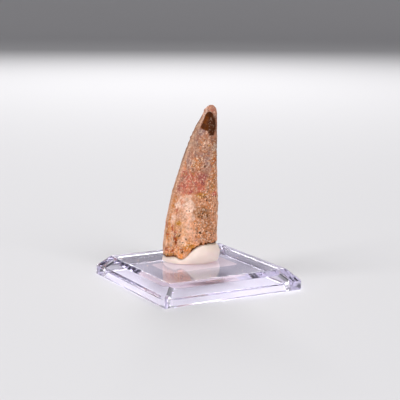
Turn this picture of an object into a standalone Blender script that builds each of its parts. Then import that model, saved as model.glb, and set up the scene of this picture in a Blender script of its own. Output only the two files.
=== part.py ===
"""Fossil tooth of a spinosaur, standing on putty on a clear moulded display base.

Run it with blender --background --python part.py, or from Blender's text editor. Units are metres, +Z is
up, and the origin is the middle of the base's underside. X and Y run along the sides of the square base.
"""

import math

import bmesh
import bpy
import numpy as np
from mathutils import Vector, noise

MM = 0.001

# Display base: a square clear plinth, hollow from below
BASE_SIDE = 60.0 * MM
BASE_HEIGHT = 8.0 * MM
RIM_HEIGHT = 3.6 * MM
TOP_INSET = 4.5 * MM
EDGE_ROUND = 0.35 * MM
WALL = 3.0 * MM
TOP_PLATE = 3.4 * MM
HOLLOW_CORNER = 4.0 * MM

# Label: a blank slip of paper on the underside of the top plate
LABEL_LENGTH = 30.9 * MM
LABEL_WIDTH = 16.2 * MM
LABEL_THICKNESS = 0.15 * MM
LABEL_CORNER = 2.0 * MM
LABEL_CENTRE = (-1.45 * MM, -1.0 * MM)

# Clearance kept between pieces that touch on the real object, and where the contact is out of sight
CONTACT_GAP = 0.3 * MM
HIDDEN_GAP = 0.6 * MM

# The tooth and its putty are laid out in their own axes, which are turned on the base: x runs from the
# outer, curved edge of the crown to its straight edge, and y goes through its thickness.
STAND_TURN = math.radians(-29.3)
TOOTH_AXIS_Y = 4.0 * MM
TOOTH_TIP = 70.1 * MM
TIP_CAP_FROM = 67.5 * MM
TIP_SHIFT = 0.3 * MM
TIP_SHARPNESS = (1.5, 0.66)
THICKNESS_SHARE = 0.77
TIP_THICKNESS_SHARE = 0.86
SECTION_SQUARENESS = 2.25

# Height, curved edge and straight edge of the crown, in millimetres
CROWN_OUTLINE = (
    (8.6, -13.35, 8.15),
    (16.0, -13.1, 8.05),
    (25.5, -11.75, 8.15),
    (35.0, -9.7, 8.15),
    (45.0, -6.8, 7.7),
    (54.4, -3.6, 7.65),
    (62.3, -0.2, 7.6),
    (67.5, 2.5, 7.5),
)

# The broken root end: its height along x on the near face and on the far face, in millimetres
NEAR_BREAK = (
    (-13.6, 10.0),
    (-11.4, 10.1),
    (-9.8, 10.6),
    (-8.2, 10.8),
    (-6.2, 10.15),
    (-4.6, 10.75),
    (-1.8, 13.5),
    (1.4, 15.5),
    (4.3, 16.0),
    (8.2, 15.5),
)
FAR_BREAK = (
    (-13.6, 10.0),
    (-9.5, 11.8),
    (-5.5, 10.6),
    (-1.0, 12.4),
    (3.0, 12.0),
    (5.6, 14.2),
    (8.2, 15.5),
)
BREAK_CHAMFER = 0.35 * MM

# Relief of the crown: two cutting edges, shallow lengthwise flutes, crust lumps and pits
CROWN_COLUMNS = 60
CROWN_RINGS = 50
RING_CROWDING = 1.3
CUTTING_EDGE_COLUMNS = (35, 4)
CUTTING_EDGE_RISE = 0.42 * MM
CUTTING_EDGE_HOLLOW = 0.22 * MM
FLUTES = 12
FLUTE_DEPTH = 0.09 * MM
LUMP_SPACING = 2.6 * MM
CRUST_LUMP = 0.34 * MM
ENAMEL_LUMP = 0.12 * MM

# Chip near the tip, where the outer layer is gone: its place, half width and depth
CHIP_FOOT = 59.3 * MM
CHIP_WIDEST = 61.2 * MM
CHIP_TOP = 67.6 * MM
CHIP_X = 4.5 * MM
CHIP_TOP_X = 5.0 * MM
CHIP_HALF_WIDTH = 2.9 * MM
CHIP_DEPTH = 0.55 * MM
CHIP_LEDGE = 0.7 * MM

# Putty: an oval foot pressed on the base, its bulge and its top under the tooth
PUTTY_COLUMNS = 48
PUTTY_FOOT_CENTRE = (-2.4 * MM, 4.1 * MM)
PUTTY_FOOT_HALF = (11.15 * MM, 9.35 * MM)
PUTTY_BULGE_SHARE = 0.17
PUTTY_TOP_SHARE = 0.965
PUTTY_STEPS = (0.0, 0.05, 0.16, 0.32, 0.5, 0.68, 0.82, 0.93, 1.0)
PUTTY_LUMP_SPACING = 5.0 * MM
PUTTY_LUMP = 0.35 * MM

INNER_RING_SHARES = (0.8, 0.55, 0.28)


def clear_scene():
    for thing in list(bpy.data.objects):
        bpy.data.objects.remove(thing, do_unlink=True)


def new_collection(name):
    collection = bpy.data.collections.new(name)
    bpy.context.scene.collection.children.link(collection)
    return collection


def principled(name, colour, roughness, metallic=0.0, transmission=0.0, ior=1.5):
    material = bpy.data.materials.new(name)
    material.use_nodes = True
    shader = material.node_tree.nodes["Principled BSDF"]
    shader.inputs["Base Color"].default_value = (*colour, 1.0)
    shader.inputs["Roughness"].default_value = roughness
    shader.inputs["Metallic"].default_value = metallic
    shader.inputs["Transmission Weight"].default_value = transmission
    shader.inputs["IOR"].default_value = ior
    return material


def place(mesh, name, collection, material=None, smooth_under=30.0):
    """Puts a mesh in the scene as one named piece, shaded smooth where faces meet at a shallow angle."""
    piece = bpy.data.objects.new(name, mesh)
    collection.objects.link(piece)
    if material is not None:
        mesh.materials.append(material)
    mesh.shade_smooth()
    mesh.set_sharp_from_angle(angle=math.radians(smooth_under))
    return piece


def plinth_mesh(name, low, high, side, shoulder, inset, corner):
    """A square block from low to high whose sides lean in from the shoulder by inset, with its upright
    corners rounded by corner."""
    block = bmesh.new()
    bmesh.ops.create_cube(block, size=1.0)
    bmesh.ops.scale(block, vec=(side, side, high - low), verts=block.verts)
    bmesh.ops.translate(block, vec=(0, 0, (low + high) / 2), verts=block.verts)
    if corner > 0:
        upright = [e for e in block.edges if abs(e.verts[0].co.z - e.verts[1].co.z) > (high - low) / 2]
        bmesh.ops.bevel(
            block, geom=upright, offset=corner, segments=6, profile=0.5, affect="EDGES"
        )
    everything = block.verts[:] + block.edges[:] + block.faces[:]
    bmesh.ops.bisect_plane(block, geom=everything, plane_co=(0, 0, shoulder), plane_no=(0, 0, 1))
    lean = 1 - 2 * inset / side
    for vertex in block.verts:
        if vertex.co.z > (shoulder + high) / 2:
            vertex.co.x *= lean
            vertex.co.y *= lean
    mesh = bpy.data.meshes.new(name)
    block.to_mesh(mesh)
    block.free()
    return mesh


def make_base(collection, cutters):
    """The clear plinth: a low square frustum on a rim, with a hollow that keeps an even wall."""
    clear = principled("clear_polystyrene", (0.93, 0.92, 0.97), 0.04, transmission=1.0, ior=1.59)
    base = place(
        plinth_mesh("base", 0.0, BASE_HEIGHT, BASE_SIDE, RIM_HEIGHT, TOP_INSET, 0.0),
        "base",
        collection,
        clear,
    )
    rounding = base.modifiers.new("edge_rounding", "BEVEL")
    rounding.width = EDGE_ROUND
    rounding.segments = 2
    rounding.limit_method = "ANGLE"
    rounding.angle_limit = math.radians(30)

    # The hollow's side leans with the outside: its shoulder is where the two walls stay WALL apart.
    lean_run = TOP_INSET / (BASE_HEIGHT - RIM_HEIGHT)
    lean_length = math.hypot(1.0, lean_run)
    shoulder = RIM_HEIGHT + (WALL - WALL * lean_length) / lean_run
    ceiling = BASE_HEIGHT - TOP_PLATE
    hollow_side = BASE_SIDE - 2 * WALL
    hollow = place(
        plinth_mesh(
            "hollow",
            -WALL,
            ceiling,
            hollow_side,
            shoulder,
            (ceiling - shoulder) * lean_run,
            HOLLOW_CORNER,
        ),
        "hollow_cutter",
        cutters,
    )
    hollow.hide_render = True
    hollow.display_type = "WIRE"
    cut = base.modifiers.new("hollow", "BOOLEAN")
    cut.operation = "DIFFERENCE"
    cut.solver = "EXACT"
    cut.object = hollow
    return base


def make_label(collection):
    """A thin slab with rounded corners, close under the top plate."""
    top = BASE_HEIGHT - TOP_PLATE - CONTACT_GAP
    slip = bmesh.new()
    bmesh.ops.create_cube(slip, size=1.0)
    bmesh.ops.scale(slip, vec=(LABEL_LENGTH, LABEL_WIDTH, LABEL_THICKNESS), verts=slip.verts)
    bmesh.ops.translate(
        slip, vec=(*LABEL_CENTRE, top - LABEL_THICKNESS / 2), verts=slip.verts
    )
    upright = [e for e in slip.edges if abs(e.verts[0].co.z - e.verts[1].co.z) > LABEL_THICKNESS / 2]
    bmesh.ops.bevel(slip, geom=upright, offset=LABEL_CORNER, segments=5, profile=0.5, affect="EDGES")
    mesh = bpy.data.meshes.new("label")
    slip.to_mesh(mesh)
    slip.free()
    return place(mesh, "label", collection, principled("label_paper", (0.74, 0.70, 0.80), 0.6))


def smooth_through(points, at):
    """A smooth curve through a few points given in millimetres: a cubic between each pair, whose slope at a
    point comes from its neighbours."""
    knots, values = np.array(points).T * MM
    slopes = np.gradient(values, knots)
    at = np.clip(at, knots[0], knots[-1])
    i = np.clip(np.searchsorted(knots, at) - 1, 0, len(knots) - 2)
    step = knots[i + 1] - knots[i]
    t = (at - knots[i]) / step
    return (
        values[i] * (1 + 2 * t) * (1 - t) ** 2
        + values[i + 1] * t * t * (3 - 2 * t)
        + step * (slopes[i] * t * (1 - t) ** 2 - slopes[i + 1] * t * t * (1 - t))
    )


def smooth_step(low, high, value):
    t = np.clip((value - low) / (high - low), 0, 1)
    return t * t * (3 - 2 * t)


def column_angles(count):
    return np.arange(count) * 2 * math.pi / count


def crown_section(angles, heights):
    """Points of the smooth crown and their outward directions: at each height an oval between the two
    edges of the outline, a little squarer than an ellipse, which closes in a round cap at the tip."""
    curved = smooth_through([(h, left) for h, left, _ in CROWN_OUTLINE], heights)
    straight = smooth_through([(h, right) for h, _, right in CROWN_OUTLINE], heights)
    up_cap = np.clip((heights - TIP_CAP_FROM) / (TOOTH_TIP - TIP_CAP_FROM), 0, 1)
    closing = (1 - up_cap ** TIP_SHARPNESS[0]) ** TIP_SHARPNESS[1]
    half_width = (straight - curved) / 2 * closing
    middle = (straight + curved) / 2 + TIP_SHIFT * up_cap
    share = THICKNESS_SHARE + (TIP_THICKNESS_SHARE - THICKNESS_SHARE) * heights / TOOTH_TIP
    half_depth = half_width * share
    cosine, sine = np.cos(angles), np.sin(angles)
    reach = (np.abs(cosine) ** SECTION_SQUARENESS + np.abs(sine) ** SECTION_SQUARENESS) ** (
        -1 / SECTION_SQUARENESS
    )
    x = middle + half_width * reach * cosine
    y = TOOTH_AXIS_Y + half_depth * reach * sine
    points = np.stack(np.broadcast_arrays(x, y, heights), axis=-1)
    outward = np.stack(np.broadcast_arrays(cosine * share, sine, 0 * heights), axis=-1)
    return points, outward / np.linalg.norm(outward, axis=-1, keepdims=True)


def break_height(x, y):
    """Height of the broken end over a place: the near face's line blends into the far face's."""
    crown = crown_section(np.array([0.5, 1.5]) * math.pi, np.full(2, CROWN_OUTLINE[0][0] * MM))[0]
    far_y, near_y = crown[:, 1]
    far_share = smooth_step(near_y, far_y, y)
    return smooth_through(NEAR_BREAK, x) * (1 - far_share) + smooth_through(FAR_BREAK, x) * far_share


def lumps(points, spacing):
    """Smooth bumps and dents between -1 and 1, about spacing apart."""
    flat = points.reshape(-1, 3) / spacing
    return np.array([noise.noise(Vector(p)) for p in flat]).reshape(points.shape[:-1])


def chip_share(points):
    """1 inside the chip on the near face, 0 outside: a drop shape, widest low down and closing at its top."""
    x, y, z = np.moveaxis(points, -1, 0)
    up = np.clip((z - CHIP_WIDEST) / (CHIP_TOP - CHIP_WIDEST), 0, 1)
    half = CHIP_HALF_WIDTH * np.sqrt(1 - up**1.6)
    middle = CHIP_X + (CHIP_TOP_X - CHIP_X) * up
    side_room = half - np.abs(x - middle)
    foot_room = z - CHIP_FOOT - np.clip(middle - x, 0, None) * 0.4
    room = np.minimum(side_room, foot_room)
    return smooth_step(0, CHIP_LEDGE, room) * (y < TOOTH_AXIS_Y)


def crown_relief(points, angles, heights):
    """How far each point stands out of the smooth crown: flutes, crust lumps, cutting edges and the chip."""
    x, y, _ = np.moveaxis(points, -1, 0)
    fade = smooth_step(TOOTH_TIP, TOOTH_TIP * 0.85, heights)
    relief = FLUTE_DEPTH * np.cos(FLUTES * angles) * fade
    crust = smooth_step(-6 * MM, 3 * MM, x) * (1 - chip_share(points))
    height_of_lumps = ENAMEL_LUMP + (CRUST_LUMP - ENAMEL_LUMP) * crust
    relief = relief + height_of_lumps * lumps(points, LUMP_SPACING) * (0.35 + 0.65 * fade)
    column_step = 2 * math.pi / CROWN_COLUMNS
    for column in CUTTING_EDGE_COLUMNS:
        away = np.abs((angles - column * column_step + math.pi) % (2 * math.pi) - math.pi) / column_step
        edge_fade = smooth_step(TOOTH_TIP, TOOTH_TIP * 0.94, heights)
        relief = relief + CUTTING_EDGE_RISE * np.clip(1 - away / 1.6, 0, 1) * edge_fade
        relief = relief - CUTTING_EDGE_HOLLOW * np.clip(1 - np.abs(away - 3) / 2, 0, 1) * edge_fade
    return relief - CHIP_DEPTH * chip_share(points)


def toward(points, centre, share):
    """A ring drawn in towards a centre, sideways only."""
    drawn = points.copy()
    drawn[:, :2] = centre[:2] + (points[:, :2] - centre[:2]) * share
    return drawn


def skin_over(rings, low_point, high_point):
    """One closed skin: a fan at each end and quads between rings, whose points run anticlockwise from
    above. The rings go outwards over the underside, up the sides and inwards over the top."""
    count = len(rings[0])
    points = np.concatenate([*rings, [low_point], [high_point]])
    across = np.arange(count)
    after = (across + 1) % count
    faces = []
    for ring in range(len(rings) - 1):
        first, second = ring * count, (ring + 1) * count
        faces += np.stack([first + across, first + after, second + after, second + across], 1).tolist()
    low, high = len(points) - 2, len(points) - 1
    last = (len(rings) - 1) * count
    faces += np.stack([after, across, np.full(count, low)], 1).tolist()
    faces += np.stack([last + across, last + after, np.full(count, high)], 1).tolist()
    return points, faces


def stand_piece(name, rings, low_point, high_point, collection, material):
    """A piece built from rings in the tooth's own axes, then turned on the base."""
    points, faces = skin_over(rings, low_point, high_point)
    mesh = bpy.data.meshes.new(name)
    mesh.from_pydata(points.tolist(), [], faces)
    piece = place(mesh, name, collection, material, smooth_under=50.0)
    piece.rotation_euler.z = STAND_TURN
    return piece


def crown_foot(angles):
    """The outline of the broken end, at its own height all round."""
    foot = crown_section(angles, np.full(len(angles), 12 * MM))[0]
    heights = break_height(foot[:, 0], foot[:, 1])
    return crown_section(angles, heights)[0], heights


def make_tooth(collection):
    """The crown as one solid: rings follow the break at the foot and turn level on the way up."""
    angles = column_angles(CROWN_COLUMNS)
    foot, foot_heights = crown_foot(angles)
    up = 1 - (1 - np.arange(CROWN_RINGS) / CROWN_RINGS) ** RING_CROWDING
    low = foot_heights.mean()
    side_heights = low + (TOOTH_TIP - low) * up[:, None]
    side_heights = side_heights + (foot_heights - low) * (1 - up[:, None]) ** 3
    all_angles = np.broadcast_to(angles, side_heights.shape)
    points, outward = crown_section(all_angles, side_heights)
    points = points + outward * crown_relief(points, all_angles, side_heights)[..., None]

    centre = foot.mean(axis=0)
    edge = points[0].copy()
    points[0, :, 2] += BREAK_CHAMFER
    underside = [toward(edge, centre, share) for share in (*INNER_RING_SHARES[::-1], 0.97)]
    for ring in underside:
        ring[:, 2] = break_height(ring[:, 0], ring[:, 1])
    low_point = np.array([*centre[:2], break_height(*centre[:2])])
    tip = crown_section(np.zeros(1), np.full(1, TOOTH_TIP))[0][0]
    stone = principled("fossil_enamel", (0.55, 0.31, 0.20), 0.65)
    return stand_piece("tooth", [*underside, *points], low_point, tip, collection, stone)


def make_putty(collection):
    """A pressed dab of putty: an oval foot, sides that bulge more where it is taller, and a top that
    follows the tooth's broken end at the contact gap."""
    angles = column_angles(PUTTY_COLUMNS)
    tooth_foot, _ = crown_foot(angles)
    centre = tooth_foot.mean(axis=0)
    top = toward(tooth_foot, centre, PUTTY_TOP_SHARE)
    top[:, 2] = break_height(top[:, 0], top[:, 1]) - CONTACT_GAP
    floor = BASE_HEIGHT + CONTACT_GAP
    around = np.stack([np.cos(angles), np.sin(angles)], axis=1)
    foot = np.column_stack([PUTTY_FOOT_CENTRE + PUTTY_FOOT_HALF * around, np.full(len(angles), floor)])
    sides = []
    for step in PUTTY_STEPS:
        ring = foot * (1 - step) + top * step
        swell = PUTTY_BULGE_SHARE * (top[:, 2] - floor) * math.sin(math.pi * step) ** 0.8
        swell = swell + PUTTY_LUMP * lumps(ring, PUTTY_LUMP_SPACING) * math.sin(math.pi * step)
        ring[:, :2] += around * swell[:, None]
        ring[:, 2] = np.minimum(ring[:, 2], break_height(ring[:, 0], ring[:, 1]) - CONTACT_GAP)
        sides.append(ring)
    covers = [toward(top, centre, share) for share in INNER_RING_SHARES]
    for ring in covers:
        ring[:, 2] = break_height(ring[:, 0], ring[:, 1]) - HIDDEN_GAP
    high_point = np.array([*centre[:2], break_height(*centre[:2]) - HIDDEN_GAP])
    low_point = np.array([*PUTTY_FOOT_CENTRE, floor])
    clay = principled("mounting_putty", (0.80, 0.72, 0.64), 0.7)
    return stand_piece("putty", [*sides, *covers], low_point, high_point, collection, clay)


def main():
    clear_scene()
    pieces = new_collection("fossil_tooth_on_stand")
    cutters = new_collection("cutters")
    make_base(pieces, cutters)
    make_label(pieces)
    make_putty(pieces)
    make_tooth(pieces)


main()
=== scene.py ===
"""Fossil spinosaur tooth on putty and a clear display base: the finished pieces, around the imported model.

The file is laid out as an add-on and run as a script. Sizes in the settings are metres; the surface
functions work in millimetres, in the tooth's own axes: x from the crown's curved edge to its straight edge,
y through its thickness, z up. turn_on_base() brings them into the frame.
"""

import math

import bpy
import numpy as np
from bpy.props import FloatProperty, FloatVectorProperty, PointerProperty
from mathutils import Matrix, Vector


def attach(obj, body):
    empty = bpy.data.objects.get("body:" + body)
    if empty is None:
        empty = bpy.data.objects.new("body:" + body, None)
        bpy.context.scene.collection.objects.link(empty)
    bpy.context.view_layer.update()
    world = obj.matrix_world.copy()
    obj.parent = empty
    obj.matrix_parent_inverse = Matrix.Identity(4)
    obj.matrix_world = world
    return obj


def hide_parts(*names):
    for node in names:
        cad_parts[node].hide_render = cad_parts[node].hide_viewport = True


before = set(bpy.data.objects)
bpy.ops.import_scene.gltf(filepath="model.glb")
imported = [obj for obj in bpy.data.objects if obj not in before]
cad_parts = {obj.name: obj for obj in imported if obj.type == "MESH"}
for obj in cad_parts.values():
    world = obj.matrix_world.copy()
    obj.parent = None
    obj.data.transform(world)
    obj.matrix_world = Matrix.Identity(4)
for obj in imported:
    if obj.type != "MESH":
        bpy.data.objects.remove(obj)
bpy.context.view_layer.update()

bl_info = {
    "name": "Fossil tooth on a display base",
    "version": (1, 0, 0),
    "blender": (4, 5, 0),
    "location": "3D View > Sidebar > Fossil",
    "description": "Builds a fossil tooth, its putty and its clear display base",
    "category": "Add Mesh",
}

MM = 0.001
BODY = "root"
# How far a piece reaches into what carries it, in millimetres
SINK = 0.01


def linear(code):
    """An sRGB hex colour as linear red, green and blue."""
    channels = [int(code[i : i + 2], 16) / 255 for i in (1, 3, 5)]
    return tuple(c / 12.92 if c <= 0.04045 else ((c + 0.055) / 1.055) ** 2.4 for c in channels)


def length(name, description, millimetres):
    return FloatProperty(name=name, description=description, default=millimetres * MM, unit="LENGTH")


def colour(name, description, code):
    return FloatVectorProperty(
        name=name, description=description, default=linear(code), subtype="COLOR", size=3, min=0, max=1
    )


class BaseSettings(bpy.types.PropertyGroup):
    """Sizes and colours of the clear base and its label."""

    side: length("Side", "Width of the square base", 60.0)
    height: length("Height", "Height of the base", 8.0)
    rim: length("Rim", "Height of the upright rim", 3.6)
    inset: length("Inset", "How far the sides lean in from rim to top", 4.5)
    wall: length("Wall", "Thickness of the sides", 3.0)
    plate: length("Plate", "Thickness of the top plate", 3.4)
    edge: length("Edge", "Rounding of the outer edges", 0.4)
    hollow_corner: length("Hollow corner", "Rounding of the hollow's upright corners", 4.0)
    clear: colour("Clear plastic", "Tint of light that passes the plastic", "#F7F5FB")
    depth_tint: colour("Depth tint", "Colour that a long way through the plastic turns to", "#D3CDE8")
    paper: colour("Label paper", "Colour of the blank label", "#DCD0D2")


class PuttySettings(bpy.types.PropertyGroup):
    """Sizes and colours of the putty."""

    foot_length: length("Foot length", "Long half of the putty's foot", 11.15)
    foot_width: length("Foot width", "Short half of the putty's foot", 9.35)
    clay: colour("Putty", "Colour of the putty", "#F4E4DA")
    clay_shade: colour("Putty shade", "Colour in handled and shaded places", "#E8D2C4")
    # Painted shade where the putty meets the tooth, in a silt brown
    dirt: colour("Silt on putty", "Silt rubbed off the tooth", "#8A6A48")


class ToothSettings(bpy.types.PropertyGroup):
    """Sizes and colours of the fossil crown."""

    tip: length("Tip height", "Height of the tip over the floor", 70.1)
    axis_y: length("Axis depth", "How far the crown stands behind the base's middle", 4.0)
    grain: length("Grain", "Size of the sand grains in the crust", 0.62)
    grain_rise: length("Grain rise", "How far the crust's grains stand out", 0.21)
    shell: colour("Shell pink", "Enamel near the tip", "#B4806E")
    peach: colour("Peach", "Enamel lower down", "#D2906A")
    strip: colour("Edge strip", "Worn enamel beside the curved edge", "#C89A7C")
    lilac: colour("Lilac grey", "Grey enamel", "#AC8880")
    beige: colour("Beige", "Dusty enamel", "#C68F68")
    rose: colour("Rose", "Iron-stained band", "#C4604E")
    wine: colour("Wine red", "Darkest part of the iron-stained band", "#9C4444")
    # Also the colour of the painted highlights along the crown's edges
    cream: colour("Cream", "Pale bare enamel", "#FFDCC8")
    orange: colour("Orange", "Orange iron stain", "#EA8C40")
    ochre: colour("Ochre", "Yellow iron stain", "#CB8826")
    silt: colour("Silt", "Fill of the groove beside the curved edge", "#B46E2C")
    rust: colour("Rust", "Red iron stain", "#B04418")
    sand: colour("Sand", "Sandy crust", "#DE9060")
    brown: colour("Brown sand", "Darker sandy crust", "#A06A42")
    dentine: colour("Dentine", "Bare core in the chip", "#6C3404")
    # Also the painted shade in the creases between sand grains
    dark: colour("Pits", "Dark fill of pits and cracks", "#32160A")
    shadowed: colour("Dark grains", "Dark sand grains", "#5C3020")
    light_grain: colour("Light grains", "Pale sand grains", "#FFE0C6")


class StageSettings(bpy.types.PropertyGroup):
    """The pale floor and the soft light."""

    floor: colour("Floor", "Colour of the floor", "#CDCCCE")
    wall: colour("Wall", "Colour of the backdrop over the floor", "#625F6E")
    key: FloatProperty(name="Key", description="Strength of the main light", default=12.8, unit="POWER")
    fill: FloatProperty(name="Fill", description="Strength of the fill light", default=13.0, unit="POWER")
    rim: FloatProperty(name="Rim", description="Strength of the low light behind", default=8.4, unit="POWER")
    rim_right: FloatProperty(
        name="Right rim", description="Strength of the small high light behind", default=3.6, unit="POWER"
    )


SETTINGS = {
    "fossil_base": BaseSettings,
    "fossil_putty": PuttySettings,
    "fossil_tooth": ToothSettings,
    "fossil_stage": StageSettings,
}

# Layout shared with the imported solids, in millimetres
STAND_TURN = math.radians(-29.3)
LABEL_LENGTH = 30.9
LABEL_WIDTH = 16.2
LABEL_THICKNESS = 0.15
LABEL_CORNER = 2.0
LABEL_CORNER_STEPS = 6
LABEL_SINK = 0.02
LABEL_CENTRE = (-1.45, -1.0)

TIP_CAP_FROM = 67.5
TIP_SHIFT = 0.3
TIP_SHARPNESS = (1.5, 0.66)
THICKNESS_SHARE = 0.77
TIP_THICKNESS_SHARE = 0.86
SECTION_SQUARENESS = 2.25
# Height at which the crown's outline stands for its broken end
BREAK_LEVEL = 12.0
CROWN_OUTLINE = (
    (8.6, -13.35, 8.15), (16.0, -13.1, 8.05), (25.5, -11.75, 8.15), (35.0, -9.7, 8.15),
    (45.0, -6.8, 7.7), (54.4, -3.6, 7.65), (62.3, -0.2, 7.6), (67.5, 2.5, 7.5),
)
NEAR_BREAK = (
    (-13.6, 10.0), (-11.4, 10.1), (-9.8, 10.6), (-8.2, 10.8), (-6.2, 10.15), (-4.6, 10.75),
    (-1.8, 13.5), (1.4, 15.5), (4.3, 16.0), (8.2, 15.5),
)
FAR_BREAK = (
    (-13.6, 10.0), (-9.5, 11.8), (-5.5, 10.6), (-1.0, 12.4), (3.0, 12.0), (5.6, 14.2), (8.2, 15.5),
)

# Numpy surfaces and patterns


def smooth_through(points, at):
    """A smooth curve through a few (place, value) points: a cubic between each pair, whose slope at a point
    comes from its neighbours."""
    knots, values = np.array(points, float).T
    slopes = np.gradient(values, knots)
    at = np.clip(at, knots[0], knots[-1])
    i = np.clip(np.searchsorted(knots, at) - 1, 0, len(knots) - 2)
    step = knots[i + 1] - knots[i]
    t = (at - knots[i]) / step
    return (
        values[i] * (1 + 2 * t) * (1 - t) ** 2
        + values[i + 1] * t * t * (3 - 2 * t)
        + step * (slopes[i] * t * (1 - t) ** 2 - slopes[i + 1] * t * t * (1 - t))
    )


def smooth_step(low, high, value):
    """0 below low, 1 above high, and 3t squared less 2t cubed between."""
    t = np.clip((value - low) / (high - low), 0, 1)
    return t * t * (3 - 2 * t)


def hashed(cells, seed):
    """A fixed random number from 0 to 1 for each whole-number cell, by multiplying and folding its bits."""
    x, y, z = np.moveaxis(cells.astype(np.int64).astype(np.uint64), -1, 0)
    n = x * np.uint64(73856093) ^ y * np.uint64(19349663) ^ z * np.uint64(83492791)
    n = (n + np.uint64(seed * 7919 + 1)) * np.uint64(2654435761)
    n = (n ^ (n >> np.uint64(15))) * np.uint64(2246822519)
    n = n ^ (n >> np.uint64(13))
    return (n & np.uint64(0xFFFFFF)).astype(float) / 0xFFFFFF


def value_noise(points, seed):
    """Smooth noise from -1 to 1: a random number on each whole point, blended between neighbours."""
    cell = np.floor(points)
    t = points - cell
    t = t * t * (3 - 2 * t)
    total = np.zeros(points.shape[:-1])
    for corner in np.ndindex(2, 2, 2):
        weight = np.prod(np.where(np.array(corner) == 1, t, 1 - t), axis=-1)
        total += weight * hashed(cell + np.array(corner), seed)
    return total * 2 - 1


def fractal(points, size, octaves, seed):
    """Noise of that size in millimetres, with finer and fainter copies of itself added."""
    total, share = 0, 1.0
    for octave in range(octaves):
        total = total + share * value_noise(points / size * 2**octave, seed + octave)
        share *= 0.55
    return total


def grains(points, size, seed):
    """Packed grains: how far each point is from its grain's middle and from the next one's, in grain sizes,
    and a random number for each grain. Each cell of a cubic grid holds one grain at a random place."""
    spot = points / size
    cell = np.floor(spot)
    nearest = np.full(spot.shape[:-1], 9.0)
    second = nearest.copy()
    own = np.zeros_like(nearest)
    for offset in np.ndindex(3, 3, 3):
        other = cell + np.array(offset) - 1
        middle = other + np.stack([hashed(other, seed + axis) for axis in range(3)], axis=-1)
        away = np.linalg.norm(spot - middle, axis=-1)
        closer = away < nearest
        second = np.where(closer, nearest, np.minimum(second, away))
        own = np.where(closer, hashed(other, seed + 3), own)
        nearest = np.where(closer, away, nearest)
    return nearest, second, own


def crown_section(angles, heights, tip):
    """Points of the smooth crown and their outward directions: at each height an oval between the two
    edges of the outline, a little squarer than an ellipse, which closes in a round cap at the tip."""
    curved = smooth_through([(h, left) for h, left, _ in CROWN_OUTLINE], heights)
    straight = smooth_through([(h, right) for h, _, right in CROWN_OUTLINE], heights)
    up_cap = np.clip((heights - TIP_CAP_FROM) / (tip - TIP_CAP_FROM), 0, 1)
    closing = (1 - up_cap ** TIP_SHARPNESS[0]) ** TIP_SHARPNESS[1]
    half_width = (straight - curved) / 2 * closing
    middle = (straight + curved) / 2 + TIP_SHIFT * up_cap
    share = THICKNESS_SHARE + (TIP_THICKNESS_SHARE - THICKNESS_SHARE) * heights / tip
    cosine, sine = np.cos(angles), np.sin(angles)
    squareness = SECTION_SQUARENESS
    reach = (np.abs(cosine) ** squareness + np.abs(sine) ** squareness) ** (-1 / squareness)
    x = middle + half_width * reach * cosine
    y = half_width * share * reach * sine
    points = np.stack(np.broadcast_arrays(x, y, heights), axis=-1)
    outward = np.stack(np.broadcast_arrays(cosine * share, sine, 0 * heights), axis=-1)
    return points, outward / np.linalg.norm(outward, axis=-1, keepdims=True)


def break_height(points):
    """Height of the broken end over a place: the near face's line blends into the far face's."""
    half = (CROWN_OUTLINE[0][2] - CROWN_OUTLINE[0][1]) / 2 * THICKNESS_SHARE
    x, y = points[..., 0], points[..., 1]
    far_share = smooth_step(-half, half, y)
    return smooth_through(NEAR_BREAK, x) * (1 - far_share) + smooth_through(FAR_BREAK, x) * far_share


def drawn_in(points, share):
    """A ring drawn in towards its own middle, sideways only."""
    middle = points.mean(axis=0)
    drawn = middle + (points - middle) * share
    drawn[:, 2] = points[:, 2]
    return drawn


def square_ring(half, corner, height, steps):
    """Points round a square with rounded corners: a quarter circle of the corner's radius at each one."""
    quarter = np.linspace(0, math.pi / 2, steps + 1)
    angles = (quarter + np.arange(4)[:, None] * math.pi / 2).ravel()
    signs = np.repeat([(1, 1), (-1, 1), (-1, -1), (1, -1)], steps + 1, axis=0)
    flat = signs * (half - corner) + corner * np.stack([np.cos(angles), np.sin(angles)], axis=-1)
    return np.column_stack([flat, np.full(len(flat), height)])


def ring_quads(layers, count):
    """Quads between each ring of points and the next, facing outwards if the rings run anticlockwise from
    above and upwards."""
    here = np.arange(count)
    after = (here + 1) % count
    starts = (np.arange(layers - 1) * count)[:, None]
    corners = [starts + here, starts + after, starts + count + after, starts + count + here]
    return np.stack(corners, axis=-1).reshape(-1, 4)


def new_mesh(name, points, faces):
    """A mesh from points in metres and lists of faces."""
    mesh = bpy.data.meshes.new(name)
    mesh.from_pydata(points.reshape(-1, 3).tolist(), [], faces)
    mesh.update()
    return mesh


def skin_mesh(name, rings, low_point, high_point):
    """One closed mesh in metres from rings in millimetres: quads between rings and a fan at each end.
    The rings run anticlockwise from above, out over the underside, up the sides and in over the top."""
    rings = np.asarray(rings)
    layers, count = rings.shape[:2]
    points = np.concatenate([rings.reshape(-1, 3), [low_point, high_point]]) * MM
    here = np.arange(count)
    after = (here + 1) % count
    low, high = len(points) - 2, len(points) - 1
    last = (layers - 1) * count
    low_fan = np.stack([after, here, np.full(count, low)], axis=1)
    high_fan = np.stack([last + here, last + after, np.full(count, high)], axis=1)
    return new_mesh(name, points, ring_quads(layers, count).tolist() + low_fan.tolist() + high_fan.tolist())


def turn_on_base(points, axis_y):
    """Points from the tooth's own axes into the frame: pushed back to the crown's axis, then turned."""
    moved = points + np.array([0, axis_y, 0])
    cosine, sine = math.cos(STAND_TURN), math.sin(STAND_TURN)
    turned = moved.copy()
    turned[..., 0] = moved[..., 0] * cosine - moved[..., 1] * sine
    turned[..., 1] = moved[..., 0] * sine + moved[..., 1] * cosine
    return turned


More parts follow.
